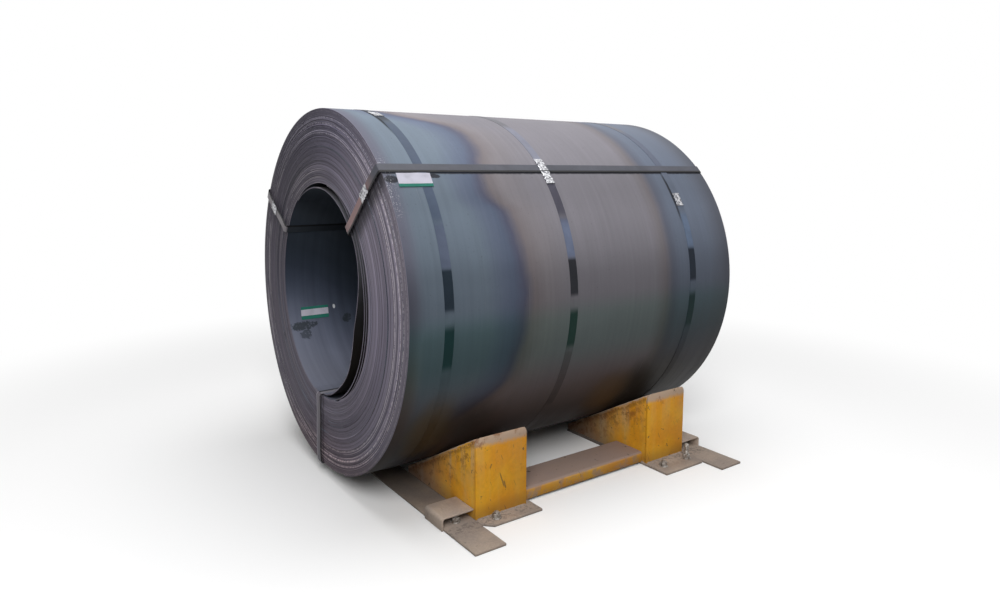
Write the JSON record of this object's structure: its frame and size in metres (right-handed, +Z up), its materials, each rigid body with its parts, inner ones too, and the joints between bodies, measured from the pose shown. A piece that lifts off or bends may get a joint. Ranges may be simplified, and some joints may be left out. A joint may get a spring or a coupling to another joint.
{
  "type": "steel coil",
  "caption": "Strapped coil of hot rolled steel strip lying eye to the side on a welded saddle of wedges, channels and flat cross bars.",
  "frame": {"origin": "on the floor, under the middle of the coil", "axes": "+X along the coil's axis, away from the pictured eye; +Z up; -Y is the pictured side"},
  "size_m": [1.4444, 1.544, 1.307],
  "materials": {
    "hot_rolled_steel": "hot rolled, blue grey scale",
    "strap_steel": "blued strap",
    "seal_steel": "bright zinc, crimped",
    "label_paper": "matt paper",
    "yellow_paint": "worn yellow paint, dusty",
    "dusty_steel": "dusty, brown"
  },
  "bodies": {
    "root": {"base_plate_front_far": "dusty_steel", "base_plate_front_near": "dusty_steel", "base_plate_rear_far": "dusty_steel", "base_plate_rear_near": "dusty_steel", "bore_label": "label_paper", "cross_bar_front": "dusty_steel", "cross_bar_rear": "dusty_steel", "eye_seal_back": "seal_steel", "eye_seal_lower": "seal_steel", "eye_seal_upper": "seal_steel", "eye_strap_back": "strap_steel", "eye_strap_lower": "strap_steel", "eye_strap_upper": "strap_steel", "guide_bracket_front_far": "dusty_steel", "guide_bracket_front_near": "dusty_steel", "guide_bracket_rear_far": "dusty_steel", "guide_bracket_rear_near": "dusty_steel", "inner_lap_1": "hot_rolled_steel", "inner_lap_2": "hot_rolled_steel", "inner_lap_3": "hot_rolled_steel", "inner_lap_4": "hot_rolled_steel", "loose_lap_first": "hot_rolled_steel", "loose_lap_second": "hot_rolled_steel", "loose_lap_third": "hot_rolled_steel", "outer_label": "label_paper", "ring_seal_front": "seal_steel", "ring_seal_middle": "seal_steel", "ring_seal_rear": "seal_steel", "ring_seal_second": "seal_steel", "ring_strap_front": "strap_steel", "ring_strap_middle": "strap_steel", "ring_strap_rear": "strap_steel", "side_channel_far": "yellow_paint", "side_channel_near": "yellow_paint", "steel_coil": "hot_rolled_steel", "wedge_face_front_far": "yellow_paint", "wedge_face_front_near": "yellow_paint", "wedge_face_rear_far": "yellow_paint", "wedge_face_rear_near": "yellow_paint", "wedge_side_inner_front_far": "yellow_paint", "wedge_side_inner_front_near": "yellow_paint", "wedge_side_inner_rear_far": "yellow_paint", "wedge_side_inner_rear_near": "yellow_paint", "wedge_side_outer_front_far": "yellow_paint", "wedge_side_outer_front_near": "yellow_paint", "wedge_side_outer_rear_far": "yellow_paint", "wedge_side_outer_rear_near": "yellow_paint", "wedge_top_front_far": "yellow_paint", "wedge_top_front_near": "yellow_paint", "wedge_top_rear_far": "yellow_paint", "wedge_top_rear_near": "yellow_paint"}
  },
  "joints": []
}
